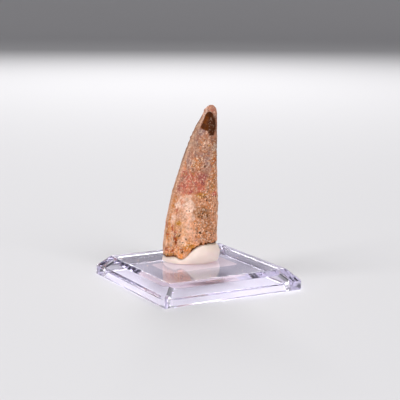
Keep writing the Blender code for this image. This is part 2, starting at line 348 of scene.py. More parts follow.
def store(mesh, name, values, low_value=0.0, high_value=0.0):
    """Keeps one number per point on the mesh, rings first, then the two end points."""
    layer = mesh.attributes.new(name, "FLOAT", "POINT")
    layer.data.foreach_set("value", np.concatenate([np.ravel(values), [low_value, high_value]]))


def finish_piece(mesh, name, node, materials, smooth_under=180.0):
    """Shades a mesh, gives it its materials and puts it in the frame, in place of a solid if it has one."""
    piece = bpy.data.objects.new(name, mesh)
    bpy.context.scene.collection.objects.link(piece)
    for material in materials:
        mesh.materials.append(material)
    mesh.shade_smooth()
    if smooth_under < 180:
        mesh.set_sharp_from_angle(angle=math.radians(smooth_under))
    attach(piece, BODY)
    if node:
        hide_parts(node)
    return piece


# Materials


def add(tree, kind, inputs=None, **settings):
    """Adds one node. Settings are its own properties. An input is a value, or the socket or node that feeds
    it; a node feeds it from its first output."""
    made = tree.nodes.new(kind)
    for name, value in settings.items():
        setattr(made, name, value)
    for socket, value in (inputs or {}).items():
        if isinstance(value, bpy.types.Node):
            value = next(output for output in value.outputs if output.enabled)
        if isinstance(value, bpy.types.NodeSocket):
            tree.links.new(value, made.inputs[socket])
        else:
            made.inputs[socket].default_value = value
    return made


def new_material(name):
    material = bpy.data.materials.new(name)
    material.use_nodes = True
    tree = material.node_tree
    tree.nodes.clear()
    return material, tree


POLYSTYRENE_IOR = 1.59
# How strongly light takes on the depth tint, and the share of a lamp's light that passes the plastic
TINT_PER_METRE = 14.0
LAMPLIGHT_PASSED = (0.86, 0.85, 0.9, 1)


def clear_polystyrene(settings):
    """Injection-moulded crystal polystyrene: the eye gets bright edges, sharp reflections and a faint lilac
    tint where light goes a long way through it. Lamps shine through it on to what lies below."""
    material, tree = new_material("crystal polystyrene, moulded")
    place = add(tree, "ShaderNodeTexCoord").outputs["Object"]
    # Finger smears about 8 mm across make the polish uneven
    smears = add(tree, "ShaderNodeTexNoise", {"Vector": place, "Scale": 120.0, "Detail": 5.0})
    rougher = {"Value": smears, "From Min": 0.45, "From Max": 0.75, "To Min": 0.004, "To Max": 0.05}
    polish = add(tree, "ShaderNodeMapRange", rougher)
    glassy = {"Roughness": polish, "IOR": POLYSTYRENE_IOR, "Transmission Weight": 1.0}
    shader = add(tree, "ShaderNodeBsdfPrincipled", {"Base Color": (*settings.clear, 1), **glassy})
    lit = add(tree, "ShaderNodeBsdfTransparent", {"Color": LAMPLIGHT_PASSED})
    path = add(tree, "ShaderNodeLightPath")
    either = add(tree, "ShaderNodeMixShader", {0: path.outputs["Is Shadow Ray"], 1: shader, 2: lit})
    tinted = {"Color": (*settings.depth_tint, 1), "Density": TINT_PER_METRE}
    depth = add(tree, "ShaderNodeVolumeAbsorption", tinted)
    add(tree, "ShaderNodeOutputMaterial", {"Surface": either, "Volume": depth})
    return material


def label_paper(settings):
    """Uncoated paper: matt, with a faint mottle of its fibres about half a millimetre across."""
    material, tree = new_material("label paper, uncoated")
    place = add(tree, "ShaderNodeTexCoord").outputs["Object"]
    fibres = add(tree, "ShaderNodeTexNoise", {"Vector": place, "Scale": 2000.0, "Detail": 3.0})
    shade = tuple(c * 0.9 for c in settings.paper)
    mottle = {"Factor": fibres, "A": (*settings.paper, 1), "B": (*shade, 1)}
    tint = add(tree, "ShaderNodeMix", mottle, data_type="RGBA")
    shader = add(tree, "ShaderNodeBsdfPrincipled", {"Base Color": tint, "Roughness": 0.75})
    add(tree, "ShaderNodeOutputMaterial", {"Surface": shader})
    return material


def mounting_putty(settings):
    """Oil-bound mounting putty: soft and matt, a little translucent, with smudges about 3 mm across from
    handling, and darkened by painted shade, silt brown, where it meets the tooth."""
    material, tree = new_material("mounting putty, hand pressed")
    place = add(tree, "ShaderNodeTexCoord").outputs["Object"]
    smudge = add(tree, "ShaderNodeTexNoise", {"Vector": place, "Scale": 320.0, "Detail": 4.0})
    tint = (*settings.clay, 1)
    # Painted shade where the putty meets the tooth
    dirt = add(tree, "ShaderNodeAttribute", attribute_name="dirt").outputs["Fac"]
    for share, code in ((smudge, settings.clay_shade), (dirt, settings.dirt)):
        tint = add(tree, "ShaderNodeMix", {"Factor": share, "A": tint, "B": (*code, 1)}, data_type="RGBA")
    soft = {"Roughness": 0.6, "Subsurface Weight": 0.2, "Subsurface Scale": 1.0 * MM}
    shader = add(tree, "ShaderNodeBsdfPrincipled", {"Base Color": tint, **soft})
    add(tree, "ShaderNodeOutputMaterial", {"Surface": shader})
    return material


def fossil_enamel(settings):
    """Mineralised enamel with desert silt: satin and stained by iron where it is bare, matt and sandy where
    grains still cling, and glassy brown where a chip bares the core."""
    material, tree = new_material("fossil enamel, mineralised")
    place = add(tree, "ShaderNodeTexCoord").outputs["Object"]
    marks = {
        name: add(tree, "ShaderNodeAttribute", attribute_name=name).outputs["Fac"] for name in CROWN_MARKS
    }
    # Shell pink above, peach below, cloudy over about 5 mm
    coarse = {"Scale": 200.0, "Detail": 6.0, "Roughness": 0.7}
    clouds = add(tree, "ShaderNodeTexNoise", {"Vector": place, **coarse})
    half = {"From Min": 0.35, "From Max": 0.65, "To Max": 0.5}
    cloudy = add(tree, "ShaderNodeMapRange", {"Value": clouds, **half})
    either = add(tree, "ShaderNodeMath", {0: marks["peach"], 1: cloudy}, operation="MAXIMUM")
    ground = {"Factor": either, "A": (*settings.shell, 1), "B": (*settings.peach, 1)}
    tint = add(tree, "ShaderNodeMix", ground, data_type="RGBA")
    # Stains are worn through in specks a third of a millimetre across, the size of one fine grain, and in
    # flakes of about a millimetre
    spotty = {"Vector": place, "Detail": 3.0}
    fine = add(tree, "ShaderNodeTexNoise", {**spotty, "Scale": 3000.0, "Roughness": 0.7})
    flakes = add(tree, "ShaderNodeTexNoise", {**spotty, "Scale": 900.0, "Roughness": 0.6})
    specked = {"Value": fine, "From Min": 0.36, "From Max": 0.58, "To Min": 0.5, "To Max": 1.0}
    flaked = {"Value": flakes, "From Min": 0.4, "From Max": 0.52, "To Min": 0.55, "To Max": 1.0}
    kept = [add(tree, "ShaderNodeMapRange", wear) for wear in (specked, flaked)]
    worn = add(tree, "ShaderNodeMath", dict(enumerate(kept)), operation="MULTIPLY")
    # The cream family also carries the painted highlights along the crown's edges
    for name, code in (
        ("lilac", settings.lilac),
        ("beige", settings.beige),
        ("crust", settings.sand),
        ("brown", settings.brown),
        ("rose", settings.rose),
        ("cream", settings.cream),
        ("orange", settings.orange),
        ("wine", settings.wine),
        ("ochre", settings.ochre),
        ("strip", settings.strip),
        ("groove", settings.silt),
        ("rust", settings.rust),
    ):
        share = add(tree, "ShaderNodeMath", {0: marks[name], 1: worn}, operation="MULTIPLY")
        tint = add(tree, "ShaderNodeMix", {"Factor": share, "A": tint, "B": (*code, 1)}, data_type="RGBA")
    # Loose sand: specks drawn 0.45 mm across so that they show, each pale, dark, orange or plain by chance.
    # Shifting them by up to 0.25 mm makes them ragged.
    shift = add(tree, "ShaderNodeTexNoise", {"Vector": place, "Scale": 3500.0, "Detail": 2.0})
    shifted = {0: shift.outputs["Color"], 1: (0.5 * MM, 0.5 * MM, 0.5 * MM), 2: place}
    ragged = add(tree, "ShaderNodeVectorMath", shifted, operation="MULTIPLY_ADD")
    specks = add(tree, "ShaderNodeTexVoronoi", {"Vector": ragged, "Scale": 2200.0})
    chance = add(tree, "ShaderNodeSeparateColor", {"Color": specks.outputs["Color"]})
    for channel, rare, most, code in (
        ("Green", 0.88, 0.4, settings.orange),
        ("Blue", 0.68, 0.65, settings.light_grain),
        ("Red", 0.78, 0.55, settings.shadowed),
    ):
        luck = {"Value": chance.outputs[channel], "From Min": rare, "From Max": rare + 0.12, "To Max": most}
        chosen = add(tree, "ShaderNodeMapRange", luck)
        share = add(tree, "ShaderNodeMath", {0: chosen, 1: marks["sandy"]}, operation="MULTIPLY")
        tint = add(tree, "ShaderNodeMix", {"Factor": share, "A": tint, "B": (*code, 1)}, data_type="RGBA")
    # The grain tone, with the painted shade towards the tip and edges, sets the value
    tone_and_shade_value = add(tree, "ShaderNodeMapRange", {"Value": marks["tone"], "To Min": 0.34, "To Max": 1.54})
    tint = add(tree, "ShaderNodeHueSaturation", {"Color": tint, "Value": tone_and_shade_value})
    # Pale grains, painted shade between grains, and dark pits
    for name, code in (("light", settings.light_grain), ("gap", settings.dark), ("pits", settings.dark)):
        over = {"Factor": marks[name], "A": tint, "B": (*code, 1)}
        tint = add(tree, "ShaderNodeMix", over, data_type="RGBA")
    # The bare core: amber brown with veins 2 mm apart, nearly black on its far side
    wavy = {"Vector": place, "Scale": 500.0, "Detail": 4.0, "Distortion": 1.0}
    veins = add(tree, "ShaderNodeTexNoise", wavy)
    veined = {"Value": veins, "From Min": 0.4, "From Max": 0.65, "To Max": 0.6}
    core = (*settings.dentine, 1)
    for share in (add(tree, "ShaderNodeMapRange", veined), marks["chip_dark"]):
        over = {"Factor": share, "A": core, "B": (*settings.dark, 1)}
        core = add(tree, "ShaderNodeMix", over, data_type="RGBA")
    # The bare core's dark band at the break is partly painted shade
    for share, over in (
        (marks["chip"], core),
        (marks["core"], core),
        (marks["chip_specks"], (*settings.light_grain, 1)),
    ):
        tint = add(tree, "ShaderNodeMix", {"Factor": share, "A": tint, "B": over}, data_type="RGBA")
    # Satin on bare enamel, matt on sand, polished in the chip
    dull = add(tree, "ShaderNodeMapRange", {"Value": marks["crust"], "To Min": 0.45, "To Max": 0.85})
    polish = add(tree, "ShaderNodeMix", {"Factor": marks["chip"], "A": dull, "B": 0.3}, data_type="FLOAT")
    grit = add(tree, "ShaderNodeBump", {"Height": fine, "Strength": 0.7, "Distance": 0.0002})
    dusty = {"Roughness": polish, "Specular IOR Level": 0.1, "Normal": grit}
    shader = add(tree, "ShaderNodeBsdfPrincipled", {"Base Color": tint, **dusty})
    add(tree, "ShaderNodeOutputMaterial", {"Surface": shader})
    return material


def loose_sand(settings):
    """Quartz sand: matt pale grains that catch the light, a few browner than the rest."""
    material, tree = new_material("quartz sand, loose")
    place = add(tree, "ShaderNodeTexCoord").outputs["Object"]
    # Grains lie several millimetres apart, so noise of that size gives each one its own tint
    kinds = add(tree, "ShaderNodeTexNoise", {"Vector": place, "Scale": 400.0, "Detail": 1.0})
    share = add(tree, "ShaderNodeMapRange", {"Value": kinds, "From Min": 0.5, "From Max": 0.65})
    either = {"Factor": share, "A": (*settings.light_grain, 1), "B": (*settings.sand, 1)}
    tint = add(tree, "ShaderNodeMix", either, data_type="RGBA")
    shader = add(tree, "ShaderNodeBsdfPrincipled", {"Base Color": tint, "Roughness": 0.6})
    add(tree, "ShaderNodeOutputMaterial", {"Surface": shader})
    return material


# Pieces

# Steps round each upright corner of the base, and the least angle in degrees of an edge that stays sharp
CORNER_STEPS = 8
SHARP_FROM = 35
GRAIN_SHARP_FROM = 30


class FOSSIL_OT_base(bpy.types.Operator):
    """Build the clear display base"""

    bl_idname = "fossil.base"
    bl_label = "Clear base"

    def execute(self, context):
        s = context.scene.fossil_base
        half, high, rim = s.side / MM / 2, s.height / MM, s.rim / MM
        wall, ceiling = s.wall / MM, (s.height - s.plate) / MM
        # The hollow keeps the wall's thickness square to the sloping side. It turns where the slopes meet.
        lean = s.inset / (s.height - s.rim)
        shoulder = rim + (wall - wall * math.hypot(1, lean)) / lean
        hollow_top = half - wall - (ceiling - shoulder) * lean
        edge, hollow_corner = s.edge / MM, s.hollow_corner / MM
        # Half width, height and corner radius along the section, from the ceiling out, round and over
        fine = edge / 4
        section = [
            (hollow_top - fine, ceiling, hollow_corner),
            (hollow_top, ceiling - fine, hollow_corner),
            (half - wall, shoulder, hollow_corner),
            (half - wall, fine, hollow_corner),
            (half - wall + fine, 0.0, hollow_corner),
            (half - edge, 0.0, edge),
        ]
        section += [
            (half - edge + edge * math.sin(a), edge - edge * math.cos(a), edge) for a in (0.4, 0.8, 1.2)
        ]
        section += [(half, edge, edge)]
        slope = math.atan2(1, lean)
        run = edge * math.tan((math.pi / 2 - slope) / 2)
        section += [(half, rim - run, edge)]
        section += [(half - run * math.cos(slope), rim + run * math.sin(slope), edge)]
        top_half = half - s.inset / MM
        turn = edge * math.tan(slope / 2)
        section += [(top_half + turn * math.cos(slope), high - turn * math.sin(slope), edge)]
        section += [
            (top_half - turn + edge * math.sin(a), high - edge + edge * math.cos(a), edge)
            for a in (slope * 0.75, slope * 0.5, slope * 0.25)
        ]
        section += [(top_half - turn, high, edge)]
        rings = [square_ring(reach, corner, level, CORNER_STEPS) for reach, level, corner in section]
        mesh = skin_mesh("base", rings, (0, 0, ceiling), (0, 0, high))
        piece = finish_piece(mesh, "clear_base", "base", [clear_polystyrene(s)], SHARP_FROM)
        weighted = piece.modifiers.new("flat_faces", "WEIGHTED_NORMAL")
        weighted.keep_sharp = True
        return {"FINISHED"}


class FOSSIL_OT_label(bpy.types.Operator):
    """Build the blank label under the top plate"""

    bl_idname = "fossil.label"
    bl_label = "Label"

    def execute(self, context):
        s = context.scene.fossil_base
        top = (s.height - s.plate) / MM + LABEL_SINK
        rings = []
        for level in (top - LABEL_THICKNESS, top):
            ring = square_ring(LABEL_LENGTH / 2, LABEL_CORNER, level, LABEL_CORNER_STEPS)
            ring[:, 1] -= np.sign(ring[:, 1]) * (LABEL_LENGTH - LABEL_WIDTH) / 2
            ring[:, :2] += LABEL_CENTRE
            rings.append(ring)
        middle = (*LABEL_CENTRE, top - LABEL_THICKNESS)
        mesh = skin_mesh("label", rings, middle, (*LABEL_CENTRE, top))
        finish_piece(mesh, "paper_label", "label", [label_paper(s)], SHARP_FROM)
        return {"FINISHED"}


PUTTY_COLUMNS = 180
PUTTY_ROWS = 48
# Middle of the putty's foot, and how far it swells for its height
PUTTY_MIDDLE = (-2.6, 0.1)
PUTTY_SWELL = 0.14


class FOSSIL_OT_putty(bpy.types.Operator):
    """Build the dab of putty under the tooth"""

    bl_idname = "fossil.putty"
    bl_label = "Putty"

    def execute(self, context):
        s, tooth, base = context.scene.fossil_putty, context.scene.fossil_tooth, context.scene.fossil_base
        angles = np.arange(PUTTY_COLUMNS) * 2 * math.pi / PUTTY_COLUMNS
        around = np.stack([np.cos(angles), np.sin(angles)], axis=1)
        outline = crown_section(angles, np.full(PUTTY_COLUMNS, BREAK_LEVEL), tooth.tip / MM)[0]
        top = drawn_in(outline, 0.95)
        top[:, 2] = break_height(top) - 0.1
        floor = base.height / MM - SINK
        reach = PUTTY_MIDDLE + np.array([s.foot_length, s.foot_width]) / MM * around
        foot = np.column_stack([reach, np.full(PUTTY_COLUMNS, floor)])
        rings = []
        # From foot to top the dab swells out, lumpy by up to 0.3 mm, and turns under where it meets the base
        for step in np.linspace(0, 1, PUTTY_ROWS) ** 1.3:
            ring = foot * (1 - step) + top * step
            swell = PUTTY_SWELL * (top[:, 2] - floor) * math.sin(math.pi * step) ** 0.8
            swell = swell + 0.3 * fractal(ring, 4.0, 2, 11) * math.sin(math.pi * step) ** 0.5
            swell = swell - 0.45 * (1 - smooth_step(0.0, 0.09, step))
            ring[:, :2] += around * swell[:, None]
            ring[:, 2] = np.minimum(ring[:, 2], break_height(ring) - 0.1)
            rings.append(ring)
        # Then it closes under the tooth, a little into it, so that no gap shows
        for share in np.linspace(0.95, 0.1, 16):
            ring = drawn_in(top, share)
            ring[:, 2] = break_height(ring) + 0.2 - 0.3 * smooth_step(0.7, 1.0, share)
            rings.append(ring)
        rings = np.array(rings)
        # Painted shade: darker close under the tooth's broken edge
        near_tooth = rings[..., 2] - break_height(rings) + 0.25 * fractal(rings, 0.9, 3, 12)
        dirt = 0.6 * smooth_step(-0.9, -0.1, near_tooth)
        high = rings[-1].mean(axis=0)
        low = rings[0].mean(axis=0)
        axis_y = tooth.axis_y / MM
        points = turn_on_base(np.concatenate([rings.reshape(-1, 3), [low, high]]), axis_y)
        mesh = skin_mesh("putty", points[:-2].reshape(rings.shape), points[-2], points[-1])
        store(mesh, "dirt", dirt, high_value=1.0)
        finish_piece(mesh, "putty_dab", "putty", [mounting_putty(s)])
        return {"FINISHED"}


LOOSE_GRAINS = 48
# Room kept free of grains at the plate's edge and round the putty, and the putty's middle for this
GRAIN_EDGE_ROOM = 1.0
GRAIN_PUTTY_ROOM = 12.5
GRAIN_PUTTY_MIDDLE = (-2.4, 0.0, 0.0)
# Least half size of a grain in millimetres, and how much more the largest has
GRAIN_HALF = 0.08
GRAIN_HALF_SPREAD = 0.14


class FOSSIL_OT_grains(bpy.types.Operator):
    """Scatter the few grains that have fallen on to the base"""

    bl_idname = "fossil.grains"
    bl_label = "Loose grains"

    def execute(self, context):
        s, base = context.scene.fossil_tooth, context.scene.fossil_base
        number = np.arange(LOOSE_GRAINS)
        cells = np.stack([number, 0 * number, 0 * number], axis=-1)
        chance = [hashed(cells, seed) for seed in range(301, 307)]
        room = base.side / 2 / MM - base.inset / MM - GRAIN_EDGE_ROOM
        places = room * (2 * np.stack(chance[:2], axis=-1) - 1)
        middle = turn_on_base(np.array(GRAIN_PUTTY_MIDDLE), s.axis_y / MM)[:2]
        size = GRAIN_HALF + GRAIN_HALF_SPREAD * chance[2] ** 2
        clear = np.linalg.norm(places - middle, axis=-1) > GRAIN_PUTTY_ROOM
        places, size = places[clear], size[clear, None]
        stretch = 0.7 + 0.6 * np.stack(chance[3:6], axis=-1)[clear]
        # Each grain is two rings of five points, turned half a step apart, between two poles
        steps = np.arange(5)
        ring = np.radians(72 * np.concatenate([steps, steps + 0.5]))
        level = np.repeat([-0.45, 0.45], 5)
        sides = np.stack([0.89 * np.cos(ring), 0.89 * np.sin(ring), level], axis=-1)
        shape = np.concatenate([[[0, 0, -1]], sides, [[0, 0, 1]]])
        points = shape * (size * stretch)[:, None]
        points[..., :2] += places[:, None]
        points[..., 2] += base.height / MM - SINK - points[..., 2].min(axis=1, keepdims=True)
        after = (steps + 1) % 5
        faces = np.concatenate(
            [
                np.stack([0 * steps, 1 + after, 1 + steps], axis=-1),
                np.stack([1 + steps, 1 + after, 6 + steps], axis=-1),
                np.stack([1 + after, 6 + after, 6 + steps], axis=-1),
                np.stack([6 + steps, 6 + after, 0 * steps + 11], axis=-1),
            ]
        )
        faces = (faces + len(shape) * np.arange(len(points))[:, None, None]).reshape(-1, 3)
        mesh = new_mesh("loose_grains", points * MM, faces.tolist())
        finish_piece(mesh, "loose_grains", None, [loose_sand(s)], GRAIN_SHARP_FROM)
        return {"FINISHED"}


# Stains on the crown's near face in millimetres: x, z, half width, half height and strength. A strength over
# 1 makes up for the specks that wear a stain through.
NEAR_STAINS = {
    "crust": (
        (3.4, 54.4, 2.3, 3.7, 0.7), (6.6, 46.8, 1.4, 9.0, 0.8), (0.4, 47.5, 2.1, 2.9, 0.7),
        (4.4, 28.3, 3.5, 4.9, 1.0), (3.7, 21.6, 4.3, 5.3, 1.0), (5.5, 36.4, 2.4, 4.9, 0.85),
        (-1.5, 41.7, 4.7, 4.1, 0.2), (-3.3, 15.4, 2.7, 2.0, 0.7), (-8.1, 19.1, 1.6, 5.7, 0.6),
        (2.0, 35.5, 2.3, 1.6, 0.7), (-8.8, 13.5, 3.6, 1.6, 0.6),
    ),
    "lilac": (
        (1.9, 59.6, 1.4, 1.0, 1.0), (-3.1, 48.1, 1.2, 2.4, 0.8), (3.9, 49.2, 2.0, 3.2, 0.9),
        (0.8, 17.8, 1.2, 0.9, 0.8), (-0.5, 54.0, 1.2, 2.9, 0.65), (-9.9, 24.7, 0.4, 0.7, 0.8),
        (-6.5, 22.4, 0.35, 0.5, 0.8), (-3.0, 23.0, 0.5, 2.0, 0.7), (-9.7, 19.6, 0.45, 1.4, 0.8),
    ),
    "beige": (
        (5.5, 40.4, 2.0, 4.1, 0.8), (-0.8, 54.4, 1.8, 3.3, 0.5), (5.1, 38.4, 1.6, 2.9, 0.7),
    ),
    "rose": (
        (-3.6, 41.6, 2.5, 3.0, 0.85), (0.6, 40.6, 2.9, 2.8, 0.9), (-3.9, 38.3, 2.7, 2.6, 0.85),
        (0.8, 37.7, 2.6, 1.6, 0.6), (6.7, 35.7, 0.9, 1.1, 1.0), (-7.7, 29.3, 0.5, 0.7, 0.8),
        (-7.0, 27.3, 0.45, 0.7, 0.9), (-9.6, 13.7, 0.9, 0.9, 0.7), (-5.4, 32.3, 0.8, 1.6, 0.5),
        (-11.6, 13.4, 1.0, 1.2, 0.8), (5.7, 68.2, 0.6, 0.6, 0.5),
    ),
    "wine": (
        (2.3, 42.9, 2.0, 1.3, 0.85), (-5.0, 39.2, 0.8, 0.8, 0.7), (-2.3, 36.8, 1.0, 0.7, 0.6),
        (-0.4, 39.8, 0.6, 0.5, 0.7), (-6.2, 37.5, 0.5, 0.5, 0.7), (-4.3, 42.3, 0.5, 0.5, 0.6),
        (2.4, 39.7, 0.8, 0.8, 0.7), (-7.4, 37.4, 0.6, 1.0, 0.5),
    ),
    "cream": (
        (-7.3, 31.1, 1.3, 1.9, 0.8), (-2.6, 30.8, 2.0, 2.5, 0.8), (-9.1, 25.2, 1.0, 2.4, 0.9),
        (-9.5, 18.7, 0.9, 3.1, 1.0), (-4.9, 17.1, 1.9, 2.2, 1.0), (6.3, 53.6, 0.7, 1.3, 0.9),
        (-3.6, 23.7, 1.6, 4.1, 0.7), (3.0, 54.4, 1.6, 2.4, 0.35), (-3.8, 34.3, 2.3, 1.0, 0.6),
        (-9.9, 16.6, 1.0, 1.8, 0.75), (-6.2, 16.9, 1.1, 1.3, 0.7), (-12.0, 16.5, 0.7, 3.0, 0.6),
        (-1.5, 20.0, 1.4, 2.6, 0.45), (2.6, 64.5, 0.35, 2.6, 0.5), (-4.5, 23.5, 3.4, 6.5, 0.5),
        (-9.8, 28.5, 0.7, 1.6, 0.6), (-2.2, 26.3, 1.3, 1.6, 0.6),
    ),
    "orange": (
        (-2.9, 15.4, 2.1, 2.0, 1.0), (-6.4, 13.7, 1.4, 1.1, 1.0), (-6.4, 11.3, 1.2, 1.0, 0.9),
        (-11.8, 13.4, 1.0, 1.4, 0.8), (0.2, 47.6, 1.9, 2.4, 0.45), (-4.9, 46.4, 0.5, 1.6, 0.5),
        (6.7, 48.8, 0.8, 1.5, 0.65), (-0.4, 23.4, 1.7, 1.9, 0.6), (-9.2, 12.6, 1.6, 0.8, 0.8),
        (-5.0, 20.0, 7.0, 6.5, 0.3),
    ),
    "ochre": (
        (-8.0, 18.0, 5.0, 6.5, 0.35), (1.6, 35.5, 1.8, 1.1, 0.9), (2.8, 35.5, 0.7, 0.7, 1.1),
        (-7.2, 24.3, 1.1, 0.85, 1.4), (-5.1, 43.3, 0.7, 0.4, 0.7), (-1.3, 43.5, 0.6, 0.5, 0.7),
        (4.6, 54.6, 0.4, 0.4, 1.0), (6.1, 38.3, 0.6, 1.6, 0.8), (-1.2, 46.7, 0.8, 0.8, 0.5),
        (-7.8, 19.0, 0.4, 0.6, 0.9), (-2.4, 15.6, 2.6, 1.1, 0.8), (-11.0, 11.3, 2.2, 0.6, 0.9),
        (-12.2, 17.5, 0.4, 3.6, 0.7),
    ),
    "rust": (
        (-9.5, 22.0, 0.45, 1.3, 1.0), (-8.3, 20.9, 0.55, 0.9, 1.0), (-8.7, 19.1, 0.5, 1.0, 1.0),
        (-8.0, 17.2, 0.4, 1.4, 1.0), (-8.0, 15.2, 0.4, 0.7, 0.9), (-11.5, 19.4, 0.45, 0.8, 1.0),
        (-11.9, 22.6, 0.4, 1.0, 0.8), (-9.7, 12.9, 0.7, 0.6, 0.8), (-6.1, 13.9, 0.6, 0.5, 1.0),
        (-11.8, 13.2, 0.5, 0.7, 0.9), (6.6, 48.4, 0.4, 0.9, 0.6),
    ),
    "brown": (
        (1.3, 28.5, 3.4, 2.7, 1.0), (1.2, 20.7, 0.6, 0.6, 1.0), (-10.7, 23.7, 0.3, 0.5, 0.9),
        (6.9, 20.7, 0.6, 0.8, 0.8), (4.1, 21.6, 3.2, 4.1, 0.35), (3.1, 46.9, 0.4, 0.4, 0.9),
        (4.8, 46.2, 0.5, 0.4, 0.8), (-12.4, 10.9, 1.6, 0.45, 1.0), (-11.2, 24.2, 0.35, 0.9, 0.9),
        (-7.3, 19.8, 0.5, 0.5, 0.6),
    ),
    "pits": (
        (-3.8, 29.2, 0.25, 0.25, 0.9), (-2.9, 29.2, 0.3, 0.25, 0.9), (-6.3, 21.2, 0.3, 0.3, 0.8),
        (-6.3, 19.8, 0.3, 0.25, 0.8), (-5.5, 16.7, 0.35, 0.25, 0.9), (-8.0, 16.3, 0.25, 0.3, 0.9),
        (-4.1, 18.0, 0.35, 0.25, 0.8), (0.9, 28.3, 0.5, 0.3, 0.6), (3.6, 29.2, 0.5, 0.35, 0.5),
        (1.4, 20.7, 0.5, 0.4, 0.9), (6.7, 19.9, 0.25, 0.5, 0.8), (3.1, 46.3, 0.3, 0.25, 0.8),
        (-0.2, 19.4, 0.3, 0.3, 0.7),
    ),
}
# The same for the far face, which the photograph does not show
FAR_STAINS = {
    "crust": ((4.5, 36.0, 3.4, 9.0, 0.9), (2.0, 24.0, 5.0, 6.0, 1.0), (5.0, 55.0, 2.4, 5.0, 0.8)),
    "lilac": ((2.0, 56.0, 2.5, 4.0, 0.8), (-4.0, 37.0, 2.0, 3.0, 0.7), (5.0, 21.0, 1.6, 1.4, 0.8)),
    "beige": ((5.0, 44.0, 2.0, 4.0, 0.8), (-7.0, 33.0, 2.0, 3.0, 0.7)),
    "rose": ((1.5, 43.0, 4.0, 3.0, 0.9), (-3.5, 40.0, 2.6, 2.2, 0.9), (4.5, 32.0, 1.6, 1.6, 0.8)),
    "wine": ((3.0, 42.0, 1.6, 1.2, 0.8), (-2.0, 40.5, 1.0, 0.8, 0.7)),
    "cream": ((-5.0, 29.0, 2.6, 3.6, 1.0), (0.5, 19.5, 2.2, 2.6, 0.9), (-9.5, 20.0, 1.2, 4.0, 0.8)),
    "orange": ((-6.0, 15.0, 3.0, 2.0, 0.9), (1.0, 49.0, 2.0, 2.6, 0.8), (4.5, 16.0, 2.4, 1.6, 0.8)),
    "ochre": ((2.5, 37.0, 1.8, 1.2, 0.9), (-6.5, 24.0, 1.2, 1.0, 1.0), (6.4, 50.0, 0.8, 2.4, 0.7)),
    "rust": ((-8.5, 16.0, 1.2, 2.4, 1.0), (0.5, 14.6, 1.6, 1.2, 0.9), (6.8, 42.0, 0.6, 2.4, 0.7)),
    "brown": ((2.5, 26.5, 3.0, 3.0, 1.0), (5.5, 30.0, 1.6, 3.4, 0.8), (4.0, 54.0, 1.4, 2.0, 0.6)),
    "pits": ((-3.0, 24.0, 0.3, 0.25, 0.9), (1.0, 31.0, 0.4, 0.3, 0.9), (-6.0, 18.5, 0.3, 0.4, 0.8)),
}
CROWN_MARKS = (
    *NEAR_STAINS,
    *("peach", "strip", "groove", "sandy", "light", "gap", "tone"),
    *("chip", "chip_dark", "chip_specks", "core"),
)
# The chip below the tip: place of its left and right edges over the height
CHIP_LEFT = (
    (58.2, 4.8), (59.6, 4.2), (60.2, 3.7), (60.7, 2.4), (61.0, 1.6), (61.6, 1.2), (62.8, 1.6),
    (64.4, 2.05), (65.9, 2.65), (67.0, 3.4), (67.6, 4.1),
)
CHIP_RIGHT = (
    (58.2, 6.6), (60.0, 7.25), (61.5, 7.55), (63.5, 7.45), (65.3, 6.95), (66.5, 6.3), (67.2, 5.6),
    (67.6, 4.8),
)
CHIP_SPAN = (58.35, 67.55)
CHIP_DEPTH = 0.5
CUTTING_EDGES = (math.radians(210), math.radians(24))
# Bumps on the curved cutting edge: height over the floor, rise and half length
EDGE_BUMPS = (
    (68.2, 0.42, 0.7), (59.2, 0.3, 0.5), (57.4, 0.42, 0.55), (55.0, 0.36, 0.8), (52.6, 0.22, 0.6),
    (44.0, 0.18, 0.9), (36.0, 0.15, 0.8), (24.0, 0.16, 0.9),
)


def stain(points, patches, seed):
    """How strongly a family of patches marks each point: every patch is an ellipse whose place is stirred by
    noise, a small one less than a large one, so that its edge wanders and crumbles. The strongest counts."""
    across, upward = points[..., 0], points[..., 2]
    stir_across, stir_upward = fractal(points, 2.2, 3, seed), fractal(points, 2.2, 3, seed + 5)
    crumble = 0.38 * fractal(points, 0.9, 2, seed + 8)
    total = 0
    for x, z, half_width, half_height, strength in patches:
        sideways = across + min(0.75, 0.5 * half_width) * stir_across - x
        lengthwise = upward + min(0.95, 0.5 * half_height) * stir_upward - z
        away = np.hypot(sideways / half_width, lengthwise / half_height) + crumble
        total = np.maximum(total, strength * smooth_step(1.3, 0.75, away))
    return total


